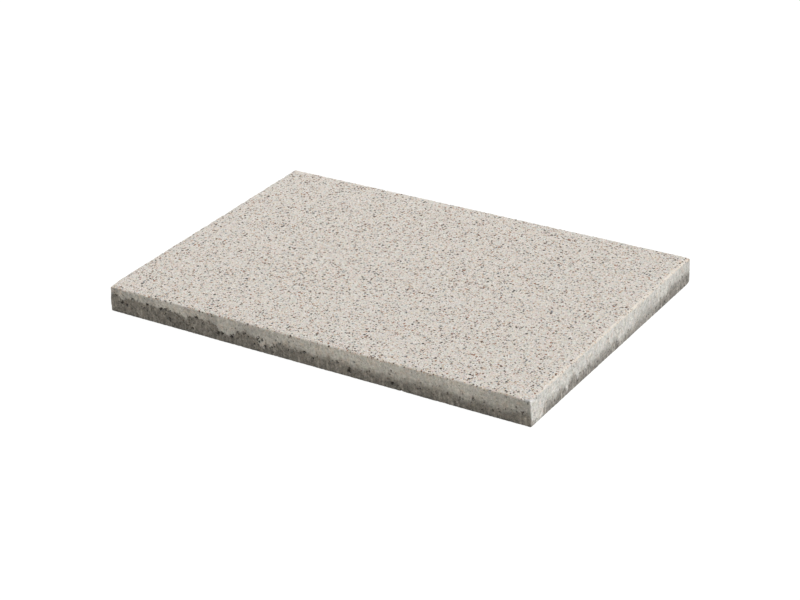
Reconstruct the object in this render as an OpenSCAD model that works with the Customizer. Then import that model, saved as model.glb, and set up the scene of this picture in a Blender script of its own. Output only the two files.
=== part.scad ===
// Concrete paving slab, pressed in one piece, lying face up.
// Frame: origin at the middle of the underside, +X along the length, +Y along the width, +Z up.
// All sizes are in millimetres.

/* [Slab] */
// Length of the slab, along X
slab_length = 600; // [300:5:1000]
// Width of the slab, along Y
slab_width = 400; // [200:5:800]
// Thickness from the underside to the walking face
slab_thickness = 35; // [25:1:80]

/* [Edges] */
// Radius of the blasted arris round the walking face
face_arris_r = 2.5; // [0.5:0.25:8]
// Radius of the tighter arris round the underside
base_arris_r = 1; // [0.5:0.25:4]
// Radius of the four upright corners, seen from above
corner_r = 2; // [0.5:0.25:10]

/* [Hidden] */
$fn = 64;
concrete = "#D3CEC6";

// Section of the slab across one span: it stands on the axis, with its face arris at the top
// and its base arris at the foot.
module section_outline(span) {
    face_half = span / 2 - face_arris_r;
    base_half = span / 2 - base_arris_r;
    face_low = slab_thickness - face_arris_r;
    translate([-span / 2, base_arris_r]) square([span, face_low - base_arris_r]);
    translate([-face_half, face_low]) square([2 * face_half, face_arris_r]);
    translate([-base_half, 0]) square([2 * base_half, base_arris_r]);
    for (side = [-1, 1]) {
        translate([side * face_half, face_low]) circle(r = face_arris_r);
        translate([side * base_half, base_arris_r]) circle(r = base_arris_r);
    }
}

// Outline from above, with the four upright corners rounded.
module plan_outline() {
    square([slab_length - 2 * corner_r, slab_width], center = true);
    square([slab_length, slab_width - 2 * corner_r], center = true);
    for (x = [-1, 1], y = [-1, 1])
        translate([x * (slab_length / 2 - corner_r), y * (slab_width / 2 - corner_r)]) circle(r = corner_r);
}

// One section run straight along the other span, standing on the ground plane.
module section_run(span, run) {
    rotate([90, 0, 0]) linear_extrude(height = run, center = true) section_outline(span);
}

// The slab is what its plan, its long section and its cross section have in common,
// so its arrises meet in a mitre at each corner, as a mould leaves them.
module paving_slab() {
    color(concrete) intersection() {
        linear_extrude(height = slab_thickness) plan_outline();
        section_run(slab_length, slab_width);
        rotate([0, 0, 90]) section_run(slab_width, slab_length);
    }
}

paving_slab();
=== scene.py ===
# Looks of the concrete paving slab: its worn and pitted block, its two mixes, the stage and the camera.
import functools
import math
import random

import bmesh
import bpy
from mathutils import Matrix, Vector


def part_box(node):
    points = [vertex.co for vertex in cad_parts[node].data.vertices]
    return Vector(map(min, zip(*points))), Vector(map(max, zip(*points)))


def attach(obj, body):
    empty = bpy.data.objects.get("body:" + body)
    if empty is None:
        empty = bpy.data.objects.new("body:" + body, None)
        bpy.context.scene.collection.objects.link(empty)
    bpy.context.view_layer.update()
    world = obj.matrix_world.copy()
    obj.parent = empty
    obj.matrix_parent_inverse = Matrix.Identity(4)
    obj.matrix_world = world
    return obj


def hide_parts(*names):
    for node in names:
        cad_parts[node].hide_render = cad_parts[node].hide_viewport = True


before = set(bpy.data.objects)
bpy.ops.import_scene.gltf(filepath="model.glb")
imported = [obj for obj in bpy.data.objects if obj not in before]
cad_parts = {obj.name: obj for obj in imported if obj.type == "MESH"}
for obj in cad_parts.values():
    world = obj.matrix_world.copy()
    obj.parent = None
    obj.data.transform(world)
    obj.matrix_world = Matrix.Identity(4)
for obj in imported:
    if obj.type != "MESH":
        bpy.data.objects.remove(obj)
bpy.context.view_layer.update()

MM = 0.001

# The slab's own sizes, from the frame
slab_low, slab_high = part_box("paving_slab")
LENGTH, WIDTH, THICKNESS = slab_high - slab_low
HALF_LENGTH = LENGTH / 2
HALF_WIDTH = WIDTH / 2

# Radii of the block's edges: the arrises as on the solid, the upright corners crisper, as in the photo
FACE_ARRIS = 2.5 * MM
BASE_ARRIS = 1.0 * MM
CORNER = 0.8 * MM
ARRIS_SEGMENTS = 4
CREASE_ANGLE = math.radians(40)

# Mesh of the block: coarse in the middle of its two large faces, fine on its sides and round their edges
COARSE_CELL = 6.25 * MM
FINE_PER_COARSE = 4
SIDE_ROWS = 24
EDGE_RING = 5 * MM
EDGE_RING_ROWS = 4
CHANGE_RING = 8 * MM

# Wear of the block: how deep each kind of roughness goes and the size of its lumps, how far the wear of
# the arrises fades inwards, and its share round the base
SKIN_DEPTH = 0.25 * MM
SKIN_LUMP = 3.2 * MM
WAVE_DEPTH = 0.2 * MM
WAVE_LUMP = 60 * MM
CRUMBLE_DEPTH = 0.7 * MM
CRUMBLE_LUMP = 3.6 * MM
SPALL_DEPTH = 0.9 * MM
SPALL_LUMP = 8 * MM
ARRIS_FADE = 3 * MM
BASE_SHARE = 0.08
BLACK = (0, 0, 0, 1)
SURFACE = (1, 1, 1, 1)

# Worn corners of the walking face: the signs of their X and Y, and how each has moved, in millimetres
WORN_CORNERS = (((1, -1), (-0.6, 0.6, -1.8)), ((-1, -1), (1.1, 1.1, -0.3)))
WORN_CORNER_REACH = 18 * MM

# The two mixes down the sides, set after the photo. Each row has a place along the side, the height of the
# line between the pale face mix and the grey backing, and how far their blend reaches below it, all in
# millimetres. Then come the tone of the face mix and the share of cool grey in it, or of sand where that is
# below zero. Places run along X on the long sides and along Y on the short ones, and the hidden sides are
# the visible ones turned round. The dark first rows of the short side are painted shade, which gives the
# step at its front corner.
LONG_SIDE_MIX = (
    (-300, 24, 0.7, 0.95, 0.8), (-290, 25, 0.7, 0.95, 0.8), (-284, 23.5, 0.7, 0.96, 0.7),
    (-282, 20.5, 1, 0.97, 0.7), (-277, 21, 1, 0.97, 0.7), (-274, 24, 0.7, 0.96, 0.8),
    (-250, 23.5, 0.7, 0.95, 0.9), (-245, 21.5, 1, 0.95, 0.9), (-241, 24.5, 0.8, 0.95, 0.8),
    (-232, 22.5, 1, 0.97, 0.6), (-225, 22, 1, 1, 0.2), (-210, 24, 0.8, 1.02, 0.1),
    (-196, 22, 1.2, 1.02, 0.1), (-186, 20.5, 1.5, 1, 0.4), (-181, 16.5, 1.5, 1, 0.4),
    (-176, 21, 1.2, 0.98, 0.5), (-163, 24.5, 1, 1, 0.1), (-157, 22, 1, 0.98, 0.3),
    (-146, 22.5, 1, 0.95, 0.7), (-134, 21.5, 1, 0.95, 0.6), (-131, 14, 1.5, 0.97, 0.4),
    (-124, 12, 1.5, 0.97, 0.2), (-118, 10, 1.5, 0.97, 0.1), (-107, 14, 1.5, 0.97, 0.3),
    (-104, 19, 2, 0.97, 0.5), (-92, 21.5, 2, 0.97, 0.8), (-78, 19, 2, 0.97, 0.7),
    (-73, 14, 2, 0.97, 0.6), (-70, 7.5, 2, 0.98, 0.4), (-64, 6.5, 2, 0.98, 0.4),
    (-61, 12.5, 2.5, 0.98, 0.4), (-54, 11, 2.5, 1, 0.3), (-45, 16, 3, 1.02, 0.4),
    (-37, 19, 3.5, 1.02, 0.4), (-20, 17, 4, 1.02, 0.3), (-3, 17.5, 4, 1.03, 0.2),
    (10, 14, 4.5, 1.06, 0.2), (30, 18, 4.5, 1.06, 0.2), (50, 15, 4.5, 1.06, 0.1),
    (88, 15, 5, 1.06, 0.1), (120, 14, 5.5, 1.06, 0.2), (172, 16.5, 6, 1.06, 0.2),
    (205, 15, 6, 1.06, 0.1), (215, 12, 5, 1.03, 0.1), (222, 13.5, 5, 1.04, 0.2),
    (229, 17, 5, 1.03, 0.2), (241, 16, 5, 1, 0.2), (252, 12.5, 5, 0.95, 0.3), (264, 12.5, 5, 0.87, 0.3),
    (275, 14.5, 4, 0.83, 0.3), (287, 16, 3, 0.8, 0.3), (300, 15.5, 3, 0.78, 0.3),
)
SHORT_SIDE_MIX = (
    # The first two rows, at a tone of 0.5, are painted shade along the front corner of the short side, which
    # sharpens the step in brightness there
    (-200, 10, 3, 0.5, 0.3), (-199.1, 9, 3, 0.5, 0.3), (-198.2, 5, 2.5, 1, 0), (-188, 1, 2, 1.01, 0),
    (-180, -4, 3, 1, 0.15), (-173, -6, 3, 1.02, 0.2), (-171, 8.5, 7.5, 1.02, 0.2),
    (-163, 11.5, 8, 1.01, 0.1), (-156, 12.5, 7, 1, 0.1), (-146, 9.5, 6.5, 1, 0.15),
    (-134, 13.5, 4.5, 1, 0.1), (-121, 13.5, 4, 1, 0.1), (-118, 5, 3, 1, 0.1), (-115, 6, 3, 1, 0.1),
    (-113, 12.5, 4, 0.97, 0.15), (-104, 17, 4, 0.97, 0.15), (-96, 14.5, 4, 0.98, 0.15),
    (-91, 9, 4, 1, 0.2), (-86, 12.5, 4.5, 1, 0.2), (-80, 11, 7, 1, 0.2), (-70, 11.5, 5, 1, 0.15),
    (-64, 15, 5, 1, 0.1), (-58, 11, 7.5, 1, 0.1), (-40, 10.5, 7, 1, 0.05), (-22, 12, 7, 1, 0.1),
    (-8, 9.5, 5.5, 1, 0.15), (-4, 14, 6, 1, 0.15), (5, 12.5, 5, 1, 0.1), (9.5, 8, 3.5, 1, 0.05),
    (11, 2, 8, 0.98, 0), (19, 4.5, 8, 0.98, 0.05), (26, 10.5, 5, 1, 0.2), (31, 7, 5, 1, 0.2),
    (38, 10, 5.5, 1, 0.2), (46, 5.5, 5.5, 1, 0.2), (52, 9, 8, 1, 0.2), (66, 8, 12, 1, 0.2),
    (80, 8.5, 14, 1, 0.2), (104, 8.5, 14, 1, 0.15), (112, 10, 7, 0.99, 0.1), (116, 9, 4.5, 0.99, 0.1),
    (118, 15, 4, 0.98, 0.1), (122, 10.5, 4.5, 0.98, 0.05), (126, 13.5, 4.5, 0.98, 0.05),
    (136, 10, 4.5, 0.97, -0.3), (140, 15.5, 5, 0.96, -0.5), (147, 16.5, 5, 0.95, -0.7),
    (160, 16.5, 4.5, 0.89, -1), (172, 15.5, 4.5, 0.87, -1), (190, 15.5, 4.5, 0.87, -1),
    (200, 15, 4, 0.85, -1),
)
# How many times as far the blend reaches above the line
BLEND_ABOVE = 1.7

# Pits that show in the front side: place along it, height, width and tallness, in millimetres
FRONT_PITS = (
    (-290, 24, 3.5, 2.5), (-263.5, 25.5, 4, 3), (-256, 25, 2.6, 2), (-241, 23, 4, 3),
    (-280.5, 16.5, 3, 4.5), (-273.5, 14.5, 3, 3.5), (-219.5, 22.6, 6, 2.8), (-212, 23.6, 4.4, 2.6),
    (-205, 22.6, 3, 2.4), (-207, 11.5, 4.6, 3), (-190.5, 10, 2.4, 3.4), (-172, 7.5, 3.4, 3.4),
    (-164, 24, 4.4, 2.8), (-155, 18, 3, 2.6), (-132, 10.5, 2.8, 5), (-126, 11.5, 4, 4),
    (-113, 11, 4.6, 3.4), (-109, 13.6, 3, 2.4), (-103, 10, 3, 2), (-102.5, 19.6, 2.8, 2.2),
    (-105, 23.6, 2, 2.8), (-90.5, 20.5, 3, 3), (-78, 9.5, 2.4, 3.6), (-73, 17.4, 3.4, 3.8),
    (-70.5, 20.4, 3.4, 2.6), (-66, 17.6, 3.8, 3.6), (-70.5, 14.6, 3.6, 2.8), (-62.5, 10, 2.6, 4.6),
    (-52, 11, 2.4, 2.8), (-40, 19, 3.4, 2.6), (-27, 24.5, 2, 2.6), (-10, 24, 2, 2.4), (-5, 17, 4.4, 3),
    (7, 12.5, 3.4, 3), (42.5, 15.5, 3.6, 2.2), (58, 9.5, 4.4, 5.4), (66, 22, 2.6, 2.4),
    (117, 8, 4.4, 4), (125, 6, 2.8, 2.8), (112, 12.6, 3, 2), (119, 22, 2.2, 3), (122.6, 22, 2.6, 2.4),
    (129, 1.4, 4, 2.4), (212.5, 19, 2.6, 2.6), (212, 13, 2, 3), (226, 16.5, 3, 4), (240, 16, 1.8, 3),
    (258.5, 13, 1.8, 2.6), (210, 22, 1.8, 2.2), (207, 10, 1.8, 2), (268, 15, 2, 2.4),
    (-204, 33, 2.4, 3), (165, 33, 3.4, 2.4), (248, 33.2, 3, 2),
)
PIT_DEPTH_SHARE = 0.42

# Small pits, scattered clear of the sides' ends and of the other pits
SMALL_PIT_SPACING = 16 * MM
SMALL_PIT_WIDTH = (1.0 * MM, 2.4 * MM)
PIT_END_MARGIN = 8 * MM
PIT_CLEARANCE = 0.8
PIT_SPIN_AXIS = (0.3, 1, 0.5)
PIT_SEED = 11

# Bays in the edges of the wider pits, and the turn from one to the next in radians
BAY_FROM_WIDTH = 2.5 * MM
BAY_SIZE = 0.65
BAY_TURN = 2

# Rough lumps that cut the pits and the chips
LUMP_KINDS = 5
LUMP_ROUGHNESS = 0.4

# Full size of the lump broken off the foot of the back right corner, as in the photo, then the small chips
BROKEN_CORNER_SIZE = (9 * MM, 8 * MM, 7 * MM)
SMALL_CHIP_SPACING = 45 * MM
SMALL_CHIP_LENGTH = (3 * MM, 9 * MM)
SMALL_CHIP_DEPTH = (0.5 * MM, 1.1 * MM)
CHIP_CLEARANCE = 14 * MM
CHIP_SPIN_AXIS = (1, 0.4, 0.7)
CHIP_SEED = 5

# Camera, solved from the slab's outline in the photo, whose frame is 800 pixels wide
IMAGE_WIDTH = 800
FOCAL_PIXELS = 2073.7
SENSOR_WIDTH = 36
CAMERA_AZIMUTH = math.radians(34.108)
CAMERA_ELEVATION = math.radians(27.227)
CAMERA_ROLL = math.radians(-2.986)
CAMERA_DISTANCE = 2584.1 * MM
SLAB_RIGHT_OF_CENTRE = 0.59 * MM
SLAB_ABOVE_CENTRE = 4.18 * MM

# Colours of the face mix, its grains, the mould skin on the sides and the backing mix
MATRIX_WARM = "#DCD1C7"
MATRIX_COOL = "#D5D4CF"
EDGE_PASTE = "#E2DBD1"
CREAM = "#EEEBE6"
TAN = "#C2A78D"
RUST = "#8F5F46"
BROWN = "#5F4A3C"
PALE_GREY = "#B5B3AF"
BLUE_GREY = "#7C8287"
DARK = "#3E322A"
BLACKISH = "#241E1A"
SKIN_PALE = "#D6D8D8"
SKIN_GREY = "#BDBFC1"
SKIN_WARM = "#D5CEC9"
SKIN_SANDY = "#D7D4CA"
BACKING = "#908E8B"
BACKING_DARK = "#71706E"
BACKING_PALE = "#B2B1AE"
# Painted shade inside the pits and the pin holes of the sides, with some dirt in the pits
PIT_SHADE = "#3A362F"

# Grains in the concrete: spacing in millimetres, smallest and largest radius as shares of the spacing,
# and the share of the cells that each colour takes
SAND = (
    1.5,
    (0.42, 0.68),
    ((0.18, CREAM), (0.12, PALE_GREY), (0.07, TAN), (0.03, RUST), (0.03, BLUE_GREY), (0.04, DARK)),
)
GRIT = (
    2.6,
    (0.34, 0.54),
    ((0.07, CREAM), (0.05, TAN), (0.05, RUST), (0.03, BLUE_GREY), (0.05, BROWN), (0.08, DARK)),
)
CHIPPINGS = (4.5, (0.24, 0.4), ((0.05, RUST), (0.03, BLUE_GREY), (0.07, BROWN), (0.15, BLACKISH)))

# Sizes of the concrete's other patterns, in millimetres, and how many times taller than wide a streak is
FINE_GRAIN = 1.4
GRAIN_BEND = 1.1
MOTTLE = 4
MATRIX_CLOUD = 6
EDGE_WANDER = 3
PASTE_PATCH = 18
SIDE_LUMP = 7
SIDE_SPECK = 4
SIDE_STREAK = 4
STREAK_STRETCH = 4
COOL_PATCH = 20
PIN_HOLE = 3.2

# What the sides show of the grains, of the skin's contrast and of the mottle, as shares
SIDE_VEIL = 0.15
SKIN_CONTRAST = 0.68
SIDE_MOTTLE = 0.5

# Light: a broad key from the right and a little behind, a weak lamp over the back, and an even fill, which
# together light the walking face at about one
KEY_FROM = Vector((0.46, 0.12, 0.5))
KEY_SPREAD = math.radians(24)
KEY_STRENGTH = 2.02
FILL_STRENGTH = 0.48
BACK_FROM = Vector((-0.35, 0.5, 0.9))
BACK_SIZE = 0.6
BACK_POWER = 0.45
FILL_TINT = "#FFFDF9"
FLOOR_SIZE = 12
FLOOR_GAP = 0.1 * MM
FLOOR_BOUNCE = "#CABFAA"
WHITE = "#FFFFFF"
FLOOR_GLOW = 1.08
SHADOW_SHARE = 0.1


def linear(text):
    """Linear colour of an sRGB hex value."""
    shares = [int(text[start:start + 2], 16) / 255 for start in (1, 3, 5)]
    return [c / 12.92 if c <= 0.04045 else ((c + 0.055) / 1.055) ** 2.4 for c in shares] + [1]


def add_node(tree, kind, inputs=(), out=0, stops=(), **settings):
    """Adds a shader node with its settings, fills or links its inputs, and gives back one of its outputs."""
    node = tree.nodes.new("ShaderNode" + kind)
    for name, value in settings.items():
        setattr(node, name, value)
    for name, value in dict(inputs).items():
        if isinstance(value, bpy.types.NodeSocket):
            tree.links.new(value, node.inputs[name])
        else:
            node.inputs[name].default_value = value
    for index, (place, colour) in enumerate(stops):
        ramp = node.color_ramp
        ramp.interpolation = "CONSTANT"
        stop = ramp.elements[index] if index < 2 else ramp.elements.new(place)
        stop.position = place
        stop.color = colour
    return node.outputs[out] if node.outputs else node


def new_tree(material):
    """The emptied node tree of a material or world."""
    material.use_nodes = True
    material.node_tree.nodes.clear()
    return material.node_tree


# Camera
def add_camera():
    azimuth, elevation = CAMERA_AZIMUTH, CAMERA_ELEVATION
    back = Vector((
        math.sin(azimuth) * math.cos(elevation),
        -math.cos(azimuth) * math.cos(elevation),
        math.sin(elevation),
    ))
    level_right = Vector((math.cos(azimuth), math.sin(azimuth), 0))
    level_up = back.cross(level_right)
    right = level_right * math.cos(CAMERA_ROLL) + level_up * math.sin(CAMERA_ROLL)
    up = level_up * math.cos(CAMERA_ROLL) - level_right * math.sin(CAMERA_ROLL)
    aim = -right * SLAB_RIGHT_OF_CENTRE - up * SLAB_ABOVE_CENTRE
    bpy.ops.object.camera_add()
    camera = bpy.context.object
    turn = Matrix((right, up, back)).transposed().to_4x4()
    camera.matrix_world = Matrix.Translation(aim + back * CAMERA_DISTANCE) @ turn
    camera.data.sensor_width = SENSOR_WIDTH
    camera.data.lens = FOCAL_PIXELS * SENSOR_WIDTH / IMAGE_WIDTH
    bpy.context.scene.camera = camera


# Stage and light
def seen_directly(tree):
    """One where a ray comes from the eye, a reflection or glass, and zero where it carries light."""
    share = add_node(tree, "LightPath", out="Is Camera Ray")
    rays = share.node.outputs
    for name in ("Is Glossy Ray", "Is Transmission Ray"):
        share = add_node(tree, "Math", {0: share, 1: rays[name]}, operation="MAXIMUM")
    return share


def add_floor():
    """A plain pale floor that looks white and still takes a soft part of the slab's shadow."""
    bpy.ops.mesh.primitive_plane_add(size=FLOOR_SIZE, location=(0, 0, slab_low.z - FLOOR_GAP))
    floor = bpy.context.object
    floor.name = "floor"
    paper = bpy.data.materials.new("White studio paper")
    tree = new_tree(paper)
    bounce = add_node(tree, "BsdfDiffuse", {"Color": linear(FLOOR_BOUNCE)})
    lit = add_node(tree, "BsdfDiffuse", {"Color": linear(WHITE)})
    glow = add_node(tree, "Emission", {"Color": linear(WHITE), "Strength": FLOOR_GLOW})
    shown = add_node(tree, "MixShader", {0: SHADOW_SHARE, 1: glow, 2: lit})
    mixed = add_node(tree, "MixShader", {0: seen_directly(tree), 1: bounce, 2: shown})
    add_node(tree, "OutputMaterial", {"Surface": mixed})
    floor.data.materials.append(paper)


def add_light():
    bpy.ops.object.light_add(type="SUN", location=KEY_FROM * 4)
    key = bpy.context.object
    key.name = "key_light"
    key.rotation_euler = KEY_FROM.to_track_quat("Z", "Y").to_euler()
    key.data.energy = KEY_STRENGTH
    key.data.angle = KEY_SPREAD
    bpy.ops.object.light_add(type="AREA", location=BACK_FROM)
    back = bpy.context.object
    back.name = "back_light"
    back.data.size = BACK_SIZE
    back.data.energy = BACK_POWER
    room = bpy.data.worlds.new("White studio")
    tree = new_tree(room)
    fill = add_node(tree, "Background", {"Color": linear(FILL_TINT), "Strength": FILL_STRENGTH})
    shown = add_node(tree, "Background", {"Color": linear(WHITE), "Strength": 1})
    mixed = add_node(tree, "MixShader", {0: seen_directly(tree), 1: fill, 2: shown})
    add_node(tree, "OutputWorld", {"Surface": mixed})
    bpy.context.scene.world = room


# Modelling helpers
def pick(block, kind, wanted):
    """Selects, in edit mode, the edges or faces of the block that the test wants."""
    bpy.ops.mesh.select_mode(type=kind)
    bpy.ops.mesh.select_all(action="DESELECT")
    mesh = bmesh.from_edit_mesh(block.data)
    elements = mesh.edges if kind == "EDGE" else mesh.faces
    for element in elements:
        if wanted(element):
            element.select = True
    mesh.select_flush_mode()
    bmesh.update_edit_mesh(block.data)


def middle(element):
    corners = [corner.co for corner in element.verts]
    return sum(corners, Vector()) / len(corners)


def run(edge):
    start, end = edge.verts
    return end.co - start.co


def rim_distance(place):
    """How far a point lies inside the nearest upright side of the solid."""
    return min(HALF_LENGTH - abs(place.x), HALF_WIDTH - abs(place.y))


def in_edge_ring(place):
    return rim_distance(place) < FACE_ARRIS + EDGE_RING + 0.1 * MM


def finish_with(block, kind, **settings):
    """Adds a modifier with its settings and applies it."""
    bpy.ops.object.modifier_add(type=kind)
    modifier = block.modifiers[-1]
    for name, value in settings.items():
        setattr(modifier, name, value)
    bpy.ops.object.modifier_apply(modifier=modifier.name)


# The slab
def press_block():
    """The slab as it leaves the mould: a block with rounded arrises, meshed finely along its sides."""
    bpy.ops.object.select_all(action="DESELECT")
    bpy.ops.mesh.primitive_cube_add(
        size=1, location=(slab_low + slab_high) / 2, scale=(LENGTH, WIDTH, THICKNESS)
    )
    block = bpy.context.object
    block.name = "pressed_slab"
    bpy.ops.object.transform_apply(location=True, rotation=True, scale=True)
    bpy.ops.object.mode_set(mode="EDIT")
    edge_kinds = (
        (FACE_ARRIS, lambda edge: middle(edge).z > slab_high.z - MM),
        (BASE_ARRIS, lambda edge: middle(edge).z < slab_low.z + MM),
        (CORNER, lambda edge: abs(run(edge).z) > THICKNESS / 2),
    )
    for radius, wanted in edge_kinds:
        pick(block, "EDGE", wanted)
        bpy.ops.transform.edge_bevelweight(value=radius / FACE_ARRIS)
    bpy.ops.object.mode_set(mode="OBJECT")
    finish_with(block, "BEVEL", limit_method="WEIGHT", width=FACE_ARRIS, segments=ARRIS_SEGMENTS)
    mesh_block(block)
    return block


def mesh_block(block):
    """Cuts the block's faces: rings in the two large ones, rows down the sides, then cells along all."""
    bpy.ops.object.mode_set(mode="EDIT")
    large = LENGTH * WIDTH / 2
    half_up = THICKNESS / 2
    for ring, lowest in ((EDGE_RING, half_up), (CHANGE_RING, 0)):
        pick(block, "FACE", lambda face: face.calc_area() > large and middle(face).z >= lowest)
        bpy.ops.mesh.inset(thickness=ring)
    pick(block, "EDGE", lambda edge: abs(run(edge).z) > THICKNESS / 2)
    bpy.ops.mesh.subdivide(number_cuts=SIDE_ROWS - 1)
    pick(
        block,
        "EDGE",
        lambda edge: abs(abs(run(edge).x) - EDGE_RING) < 0.1 * MM and in_edge_ring(middle(edge)),
    )
    bpy.ops.mesh.subdivide(number_cuts=EDGE_RING_ROWS - 1)
    for axis, span in ((0, LENGTH), (1, WIDTH)):
        pick(block, "EDGE", lambda edge: abs(run(edge)[axis]) > 0.8 * span)
        bpy.ops.mesh.subdivide(number_cuts=round(span / COARSE_CELL) - 1)
    for axis in (0, 1):
        pick(
            block,
            "EDGE",
            lambda edge: abs(run(edge)[axis]) > COARSE_CELL / 2
            and abs(run(edge)[1 - axis]) < COARSE_CELL / 8
            and in_edge_ring(middle(edge)),
        )
        bpy.ops.mesh.subdivide(number_cuts=FINE_PER_COARSE - 1)
    bpy.ops.object.mode_set(mode="OBJECT")


def fade(distance, start, length):
    """One up to the start, falling to zero over the length."""
    return min(1, max(0, 1 - (distance - start) / length))


def weigh(block, name, share):
    """A vertex group of the block, with the share that each point has in it."""
    group = block.vertex_groups.new(name=name)
    for vertex in block.data.vertices:
        weight = share(vertex.co)
        if weight > 0:
            group.add([vertex.index], weight, "REPLACE")


def side_share(place):
    return fade(rim_distance(place), FACE_ARRIS, EDGE_RING)


def arris_share(place):
    from_face = max(rim_distance(place), slab_high.z - place.z)
    from_base = max(rim_distance(place), place.z - slab_low.z)
    return max(fade(from_face, FACE_ARRIS, ARRIS_FADE), BASE_SHARE * fade(from_base, BASE_ARRIS, ARRIS_FADE))


def roughen(block, name, group, lump, depth, proud, sunk):
    """Presses a cloudy relief into a part of the block, inwards only, so that it stays inside the solid.

    Noise of the proud value stays at the surface, and noise of the sunk value goes down by the whole depth.
    """
    relief = bpy.data.textures.new(name, "CLOUDS")
    relief.noise_scale = lump
    relief.noise_depth = 2
    relief.use_color_ramp = True
    low, high = relief.color_ramp.elements
    low.position, high.position = min(proud, sunk), max(proud, sunk)
    low.color, high.color = (BLACK, SURFACE) if sunk < proud else (SURFACE, BLACK)
    finish_with(
        block,
        "DISPLACE",
        texture=relief,
        texture_coords="LOCAL",
        vertex_group=group,
        mid_level=1,
        strength=depth,
    )
    bpy.data.textures.remove(relief)


def wear_block(block):
    """Rough skin and waves on the sides, crumbled and spalled arrises, and the front side's worn corners."""
    weigh(block, "sides", side_share)
    weigh(block, "arrises", arris_share)
    roughen(block, "mould_wave", "sides", WAVE_LUMP, WAVE_DEPTH, proud=0.7, sunk=0.3)
    roughen(block, "pressed_skin", "sides", SKIN_LUMP, SKIN_DEPTH, proud=0.6, sunk=0.3)
    roughen(block, "crumble", "arrises", CRUMBLE_LUMP, CRUMBLE_DEPTH, proud=0.5, sunk=0.25)
    roughen(block, "spall", "arrises", SPALL_LUMP, SPALL_DEPTH, proud=0.6, sunk=0.75)
    bpy.ops.object.mode_set(mode="EDIT")
    for (end, side), drop in WORN_CORNERS:
        corner = Vector((end * HALF_LENGTH, side * HALF_WIDTH, slab_high.z))
        pick(block, "FACE", lambda face: (middle(face) - corner).length < 2 * FACE_ARRIS)
        bpy.ops.transform.translate(
            value=Vector(drop) * MM,
            use_proportional_edit=True,
            proportional_edit_falloff="SMOOTH",
            proportional_size=WORN_CORNER_REACH,
        )
    bpy.ops.object.mode_set(mode="OBJECT")
    block.vertex_groups.clear()


# Pits and chips
# Each side has the way it faces, the way its places run, how far out it lies, half its run and its mixes
SIDES = {
    "front": (Vector((0, -1, 0)), Vector((1, 0, 0)), HALF_WIDTH, HALF_LENGTH, LONG_SIDE_MIX),
    "back": (Vector((0, 1, 0)), Vector((-1, 0, 0)), HALF_WIDTH, HALF_LENGTH, LONG_SIDE_MIX),
    "right": (Vector((1, 0, 0)), Vector((0, 1, 0)), HALF_LENGTH, HALF_WIDTH, SHORT_SIDE_MIX),
    "left": (Vector((-1, 0, 0)), Vector((0, -1, 0)), HALF_LENGTH, HALF_WIDTH, SHORT_SIDE_MIX),
}


def make_lumps():
    """Rough pebbles of about unit radius, the shapes of what left each hole."""
    lumps = []
    for seed in range(LUMP_KINDS):
        bpy.ops.object.select_all(action="DESELECT")
        bpy.ops.mesh.primitive_ico_sphere_add(subdivisions=2, radius=1)
        lump = bpy.context.object
        bpy.ops.object.mode_set(mode="EDIT")
        bpy.ops.transform.vertex_random(offset=LUMP_ROUGHNESS, uniform=0.2, normal=0.6, seed=seed + 1)
        bpy.ops.object.mode_set(mode="OBJECT")
        lumps.append(lump)
    return lumps


def place_lump(lump, place, size, facing, spin):
    """A copy of a lump, spun about, then drawn out to its size and faced."""
    copy = lump.copy()
    copy.data = lump.data.copy()
    bpy.context.collection.objects.link(copy)
    copy.matrix_world = Matrix.Translation(place) @ facing @ Matrix.Diagonal((*size, 1)) @ spin
    return copy


def carve(block, cutters):
    """Takes the cutters out of the block in one cut, and clears them away."""
    bpy.ops.object.select_all(action="DESELECT")
    for cutter in cutters:
        cutter.select_set(True)
    bpy.context.view_layer.objects.active = cutters[0]
    bpy.ops.object.join()
    holes = bpy.context.object
    bpy.ops.object.select_all(action="DESELECT")
    block.select_set(True)
    bpy.context.view_layer.objects.active = block
    finish_with(block, "BOOLEAN", operation="DIFFERENCE", solver="MANIFOLD", object=holes)
    bpy.data.objects.remove(holes)


def side_mix(table, along):
    """Height and softness of the mix line, tone and cool share at a place along a side, from its table."""
    place = along / MM
    for before, after in zip(table, table[1:]):
        if place <= after[0]:
            share = (place - before[0]) / (after[0] - before[0])
            return [low + (high - low) * share for low, high in zip(before[1:], after[1:])]
    return table[-1][1:]


def side_pits(side, draw):
    """Places and sizes of a side's pits: those in the photo, then small ones near and below the line."""
    *_, half_run, table = SIDES[side]
    pits = [tuple(MM * value for value in pit) for pit in FRONT_PITS] if side == "front" else []
    for _ in range(round(4 * half_run / SMALL_PIT_SPACING)):
        place = draw.uniform(-half_run + PIT_END_MARGIN, half_run - PIT_END_MARGIN)
        top = max(side_mix(table, place)[0] + 2, 8) * MM
        height = draw.triangular(2 * MM, top, 0.8 * top)
        width = draw.uniform(*SMALL_PIT_WIDTH)
        tall = width * draw.uniform(0.7, 1.3)
        clear = all(
            math.hypot(place - pit[0], height - pit[1]) > PIT_CLEARANCE * (max(width, tall) + max(pit[2:]))
            for pit in pits
        )
        if clear:
            pits.append((place, height, width, tall))
    return pits


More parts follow.
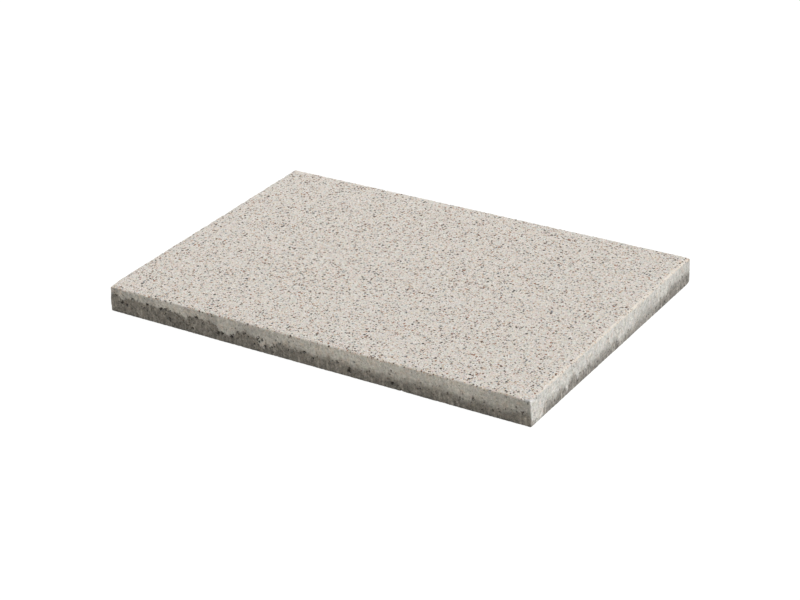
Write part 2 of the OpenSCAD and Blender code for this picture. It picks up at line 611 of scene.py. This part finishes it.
def pit_block(block, lumps):
    """Air pits left in the pressed sides, the wider ones with two smaller bays broken into their edges."""
    draw = random.Random(PIT_SEED)
    cuts = ([], [], [])
    for side, (outward, along, reach, *_) in SIDES.items():
        facing = outward.to_track_quat("-Y", "Z").to_matrix().to_4x4()
        for place, height, width, tall in side_pits(side, draw):
            heart = outward * reach + along * place + Vector((0, 0, slab_low.z + height))
            size = Vector((width / 2, PIT_DEPTH_SHARE * (width + tall), tall / 2))
            start = draw.uniform(0, 2 * math.pi)
            for turn, cut in enumerate(cuts):
                bay = 1 if turn == 0 else BAY_SIZE
                angle = start + BAY_TURN * turn
                shift = along * (math.cos(angle) * width / 2) + Vector((0, 0, math.sin(angle) * tall / 2))
                centre = heart if turn == 0 else heart + shift
                spin = Matrix.Rotation(draw.uniform(0, 2 * math.pi), 4, PIT_SPIN_AXIS)
                cut.append(place_lump(draw.choice(lumps), centre, size * bay, facing, spin))
                if width < BAY_FROM_WIDTH:
                    break
    for cut in cuts:
        carve(block, cut)


def chip_block(block, lumps):
    """Broken places on the edges: the corner in the photo, then small chips round the walking face."""
    draw = random.Random(CHIP_SEED)
    back_right_foot = Vector((HALF_LENGTH, HALF_WIDTH, slab_low.z))
    places = [(back_right_foot, Vector(BROKEN_CORNER_SIZE) / 2)]
    for outward, along, reach, half_run, _ in SIDES.values():
        for _ in range(round(2 * half_run / SMALL_CHIP_SPACING)):
            place = outward * reach + along * draw.uniform(-half_run, half_run) + Vector((0, 0, slab_high.z))
            length = draw.uniform(*SMALL_CHIP_LENGTH)
            depth = Vector((1, 1, 1)) * draw.uniform(*SMALL_CHIP_DEPTH)
            size = depth + Vector([abs(share) for share in along]) * (length / 2 - depth.x)
            near = any((place - other).length < CHIP_CLEARANCE for other, _ in places)
            if not near:
                places.append((place, size))
    level = Matrix.Identity(4)
    cutters = []
    for place, size in places:
        spin = Matrix.Rotation(draw.uniform(0, 2 * math.pi), 4, CHIP_SPIN_AXIS)
        cutters.append(place_lump(draw.choice(lumps), place, size, level, spin))
    carve(block, cutters)


def mark_sides(block):
    """Stores on each point what the tables of the two mixes say for its place along its side."""
    marks = block.data.attributes.new("side_mix", "FLOAT_COLOR", "POINT")
    for vertex, mark in zip(block.data.vertices, marks.data):
        place = vertex.co
        on_short_side = HALF_LENGTH - abs(place.x) < HALF_WIDTH - abs(place.y)
        if on_short_side:
            mark.color = side_mix(SHORT_SIDE_MIX, place.y if place.x > 0 else -place.y)
        else:
            mark.color = side_mix(LONG_SIDE_MIX, place.x if place.y < 0 else -place.x)


# Concrete
def grain_layer(node, place, spacing, radii, kinds):
    """One size of grain, as rough balls scattered through the concrete: its colour and its share."""
    cells = node("TexVoronoi", {"Vector": place, "Scale": 1 / spacing})
    chance = node("SeparateColor", {0: cells.node.outputs["Color"]})
    size = chance.node.outputs["Green"]
    radius = node("MapRange", {0: size, 3: radii[0], 4: radii[1]})
    inside = node("Math", {0: radius, 1: cells}, operation="SUBTRACT")
    ball = node("MapRange", {0: inside, 1: 0, 2: 0.06}, interpolation_type="SMOOTHSTEP")
    laid_bare = node("MapRange", {0: chance.node.outputs["Blue"], 3: 0.75, 4: 1})
    stops = [(0, (0, 0, 0, 0))]
    start = 1 - sum(share for share, _ in kinds)
    for share, colour in kinds:
        stops.append((start, linear(colour)))
        start += share
    tint = node("ValToRGB", {0: chance}, stops=stops)
    share = node("Math", {0: ball, 1: tint.node.outputs["Alpha"]}, operation="MULTIPLY")
    share = node("Math", {0: share, 1: laid_bare}, operation="MULTIPLY")
    return tint, share


def walking_face(node, place, fine, mottle, paste):
    """Blasted face: the pale cement matrix between the grains, paler where paste lies at an end."""
    cloud = node("TexNoise", {"Vector": place, "Scale": 1 / MATRIX_CLOUD, "Detail": 4, "Roughness": 0.6})
    warmth = node("MapRange", {0: cloud, 1: 0.35, 2: 0.65})
    ends = {6: linear(MATRIX_COOL), 7: linear(MATRIX_WARM)}
    colour = node("Mix", {0: warmth, **ends}, out=2, data_type="RGBA")
    tone = node("MapRange", {0: fine, 1: 0.3, 2: 0.7, 3: 0.9, 4: 1.08})
    colour = node("VectorMath", {0: colour, "Scale": tone}, operation="SCALE")
    colour = node("VectorMath", {0: colour, 1: mottle}, operation="MULTIPLY")
    return node("Mix", {0: paste, 6: colour, 7: linear(EDGE_PASTE)}, out=2, data_type="RGBA")


def mix_line(node, up, marks, lump, streak, fine):
    """Depth below the ragged, streaked line between the two mixes, and the share of grey backing there."""
    line = node("SeparateColor", {0: marks})
    blend = line.node.outputs["Green"]
    ragged = node("MapRange", {0: lump, 1: 0.25, 2: 0.75, 3: -3, 4: 3})
    drawn = node("MapRange", {0: streak, 1: 0.25, 2: 0.75, 3: -4, 4: 4})
    reach = node("MapRange", {0: blend, 1: 0.5, 2: 4, 3: 0.3, 4: 1.2})
    drawn = node("Math", {0: drawn, 1: reach}, operation="MULTIPLY")
    crumbly = node("MapRange", {0: fine, 1: 0.25, 2: 0.75, 3: -1.5, 4: 1.5})
    depth = node("Math", {0: line, 1: up}, operation="SUBTRACT")
    for part in (ragged, drawn, crumbly):
        depth = node("Math", {0: depth, 1: part}, operation="ADD")
    above = node("Math", {0: blend, 1: -BLEND_ABOVE}, operation="MULTIPLY")
    share = node("MapRange", {0: depth, 1: above, 2: blend}, interpolation_type="SMOOTHSTEP")
    underneath = node("MapRange", {0: up, 1: 0.5, 2: 0})
    share = node("Math", {0: share, 1: underneath}, operation="MAXIMUM")
    return depth, share


def mould_skin(node, place, marks, lump):
    """Pale skin of the face mix: cool in patches, warm in lumps, and sandy at one end of a short side."""
    tone = node("SeparateColor", {0: marks}, out="Blue")
    cool_share = marks.node.outputs["Alpha"]
    patch = node("TexNoise", {"Vector": place, "Scale": 1 / COOL_PATCH, "Detail": 4})
    cool = node("MapRange", {0: patch, 1: 0.35, 2: 0.65, 3: 0, 4: 2})
    cool = node("Math", {0: cool, 1: cool_share}, operation="MULTIPLY", use_clamp=True)
    skin = node("Mix", {0: cool, 6: linear(SKIN_PALE), 7: linear(SKIN_GREY)}, out=2, data_type="RGBA")
    warm = node("MapRange", {0: lump, 1: 0.5, 2: 0.7})
    skin = node("Mix", {0: warm, 6: skin, 7: linear(SKIN_WARM)}, out=2, data_type="RGBA")
    sandy = node("Math", {0: cool_share, 1: -1}, operation="MULTIPLY", use_clamp=True)
    skin = node("Mix", {0: sandy, 6: skin, 7: linear(SKIN_SANDY)}, out=2, data_type="RGBA")
    return node("VectorMath", {0: skin, "Scale": tone}, operation="SCALE")


def backing_mix(node, lump, streak):
    """Grey backing, darker in lumps and paler in streaks."""
    dark = node("MapRange", {0: lump, 1: 0.35, 2: 0.6})
    backing = node("Mix", {0: dark, 6: linear(BACKING_DARK), 7: linear(BACKING)}, out=2, data_type="RGBA")
    pale = node("MapRange", {0: streak, 1: 0.5, 2: 0.75})
    return node("Mix", {0: pale, 6: backing, 7: linear(BACKING_PALE)}, out=2, data_type="RGBA")


def pin_hole_shade(node, place, depth):
    """Share of painted shade from pin holes, which are not cut into the block, and which crowd along the
    line between the mixes.
    """
    noise = {"Vector": place, "Scale": 1 / PIN_HOLE, "Detail": 3, "W": 7}
    hole = node("TexNoise", noise, noise_dimensions="4D")
    off_line = node("Math", {0: depth}, operation="ABSOLUTE")
    crowded = node("MapRange", {0: off_line, 1: 0, 2: 6, 3: 0.05, 4: 0})
    hole = node("Math", {0: hole, 1: crowded}, operation="ADD")
    return node("MapRange", {0: hole, 1: 0.63, 2: 0.69, 4: 0.75})


def pressed_side(node, place, up, marks, fine, mottle):
    """Mould-pressed side: pale skin of the face mix running into grey backing, with grain over both."""
    lump = node("TexNoise", {"Vector": place, "Scale": 1 / SIDE_LUMP, "Detail": 4, "Roughness": 0.6})
    speck = node("TexNoise", {"Vector": place, "Scale": 1 / SIDE_SPECK, "Detail": 3, "Roughness": 0.7})
    drawn_up = node("VectorMath", {0: place, 1: (1, 1, 1 / STREAK_STRETCH)}, operation="MULTIPLY")
    streak = node("TexNoise", {"Vector": drawn_up, "Scale": 1 / SIDE_STREAK, "Detail": 3, "Roughness": 0.6})
    depth, share = mix_line(node, up, marks, lump, streak, fine)
    skin = mould_skin(node, place, marks, lump)
    backing = backing_mix(node, lump, streak)
    colour = node("Mix", {0: share, 6: skin, 7: backing}, out=2, data_type="RGBA")
    lively = node("MapRange", {0: share, 3: SKIN_CONTRAST, 4: 1})
    for grain, least, most in ((fine, 0.74, 1.26), (speck, 0.62, 1.38), (streak, 0.85, 1.15)):
        tone = node("MapRange", {0: grain, 1: 0.3, 2: 0.7, 3: least, 4: most})
        tone = node("Mix", {0: lively, 2: 1, 3: tone})
        colour = node("VectorMath", {0: colour, "Scale": tone}, operation="SCALE")
    faint = node("Mix", {0: SIDE_MOTTLE, 6: linear(WHITE), 7: mottle}, out=2, data_type="RGBA")
    colour = node("VectorMath", {0: colour, 1: faint}, operation="MULTIPLY")
    # Painted shade of the pin holes, which are not cut into the block
    hole = pin_hole_shade(node, place, depth)
    return node("Mix", {0: hole, 6: colour, 7: linear(PIT_SHADE)}, out=2, data_type="RGBA")


def end_paste(node, place, inset, wander, marks):
    """Share of smooth paste along the two end arrises: it comes and goes, and dies out at a sandy end."""
    loose = node("Math", {0: inset, 1: wander}, operation="ADD")
    paste = node("MapRange", {0: loose, 1: 1.5, 2: 4, 3: 0.85, 4: 0}, interpolation_type="SMOOTHSTEP")
    patchy = node("TexNoise", {"Vector": place, "Scale": 1 / PASTE_PATCH, "Detail": 3})
    patchy = node("MapRange", {0: patchy, 1: 0.35, 2: 0.6, 3: 0.3, 4: 1.1})
    kept = node("MapRange", {0: marks.node.outputs["Alpha"], 1: -1, 2: 0, 3: 0.15, 4: 1})
    for part in (patchy, kept):
        paste = node("Math", {0: paste, 1: part}, operation="MULTIPLY")
    return paste


def pit_shade(node, insets, up):
    """Share of shade and dirt inside the pits of the sides, away from the arrises and the corners."""
    rim = node("Math", {0: insets[0], 1: insets[1]}, operation="MINIMUM")
    along = node("Math", {0: insets[0], 1: insets[1]}, operation="MAXIMUM")
    shade = node("MapRange", {0: rim, 1: 0.7, 2: 2.2, 3: 0, 4: 0.8}, interpolation_type="SMOOTHSTEP")
    below_arris = node("MapRange", {0: up, 1: THICKNESS / MM - 2.5, 2: THICKNESS / MM - 4})
    above_base = node("MapRange", {0: up, 1: 0.2, 2: 1})
    off_corner = node("MapRange", {0: along, 1: 4, 2: 8})
    for limit in (below_arris, above_base, off_corner):
        shade = node("Math", {0: shade, 1: limit}, operation="MULTIPLY")
    return shade


def concrete():
    """Two-mix concrete, pressed in a mould and fine-blasted on its face.

    The eye gets a matt pale face full of small coloured grains, a smoother paste along its ends, and sides
    where the pale mix runs into a rougher, darker grey backing, with shadowed pits.
    """
    material = bpy.data.materials.new("Pressed concrete, fine-blasted face")
    tree = new_tree(material)
    node = functools.partial(add_node, tree)
    metres = node("TexCoord", out="Object")
    place = node("VectorMath", {0: metres, "Scale": 1 / MM}, operation="SCALE")
    across = node("SeparateXYZ", {0: place})
    up = across.node.outputs["Z"]
    insets = []
    for axis, half in (("X", HALF_LENGTH), ("Y", HALF_WIDTH)):
        out_from_middle = node("Math", {0: across.node.outputs[axis]}, operation="ABSOLUTE")
        insets.append(node("Math", {0: half / MM, 1: out_from_middle}, operation="SUBTRACT"))
    marks = node("Attribute", attribute_name="side_mix", out="Color")
    fine = node("TexNoise", {"Vector": place, "Scale": 1 / FINE_GRAIN, "Detail": 3, "Roughness": 0.6})
    mottle = node("TexNoise", {"Vector": place, "Scale": 1 / MOTTLE, "Detail": 3}, out="Color")
    mottle = node("VectorMath", {0: mottle, 1: [0.24] * 3, 2: [0.88] * 3}, operation="MULTIPLY_ADD")
    wander = node("TexNoise", {"Vector": place, "Scale": 1 / EDGE_WANDER, "Detail": 3})
    wander = node("MapRange", {0: wander, 1: 0.2, 2: 0.8, 3: -1.5, 4: 1.5})
    paste = end_paste(node, place, insets[0], wander, marks)
    face = walking_face(node, place, fine, mottle, paste)
    side = pressed_side(node, place, up, marks, fine, mottle)
    loose_up = node("Math", {0: up, 1: wander}, operation="ADD")
    blasted = node(
        "MapRange",
        {0: loose_up, 1: THICKNESS / MM - 2.8, 2: THICKNESS / MM - 1.9},
        interpolation_type="SMOOTHSTEP",
    )
    colour = node("Mix", {0: blasted, 6: side, 7: face}, out=2, data_type="RGBA")
    height = node("MapRange", {0: fine, 3: 0, 4: 0.3})
    bare = node("MapRange", {0: paste, 3: 1, 4: 0.5})
    seen = node("Mix", {0: blasted, 2: SIDE_VEIL, 3: bare})
    bend = node("TexNoise", {"Vector": place, "Scale": 1 / GRAIN_BEND, "Detail": 2}, out=1)
    bent = node("VectorMath", {0: bend, 1: [0.4] * 3, 2: place}, operation="MULTIPLY_ADD")
    for layer in (SAND, GRIT, CHIPPINGS):
        tint, share = grain_layer(node, bent, *layer)
        share = node("Math", {0: share, 1: seen}, operation="MULTIPLY")
        colour = node("Mix", {0: share, 6: colour, 7: tint}, out=2, data_type="RGBA")
        height = node("Math", {0: share, 1: 0.08, 2: height}, operation="MULTIPLY_ADD")
    shade = pit_shade(node, insets, up)
    colour = node("Mix", {0: shade, 6: colour, 7: linear(PIT_SHADE)}, out=2, data_type="RGBA")
    relief = node("Bump", {"Height": height, "Distance": MM, "Strength": 1})
    shader = node("BsdfPrincipled", {"Base Color": colour, "Roughness": 0.92, "Normal": relief, "IOR": 1.5})
    node("OutputMaterial", {"Surface": shader})
    return material


def add_slab():
    block = press_block()
    wear_block(block)
    lumps = make_lumps()
    chip_block(block, lumps)
    pit_block(block, lumps)
    for lump in lumps:
        bpy.data.objects.remove(lump)
    bpy.ops.object.shade_smooth_by_angle(angle=CREASE_ANGLE)
    block.data.materials.clear()
    mark_sides(block)
    block.data.materials.append(concrete())
    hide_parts("paving_slab")
    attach(block, "root")


bpy.context.scene.view_settings.view_transform = "Standard"
add_camera()
add_floor()
add_light()
add_slab()
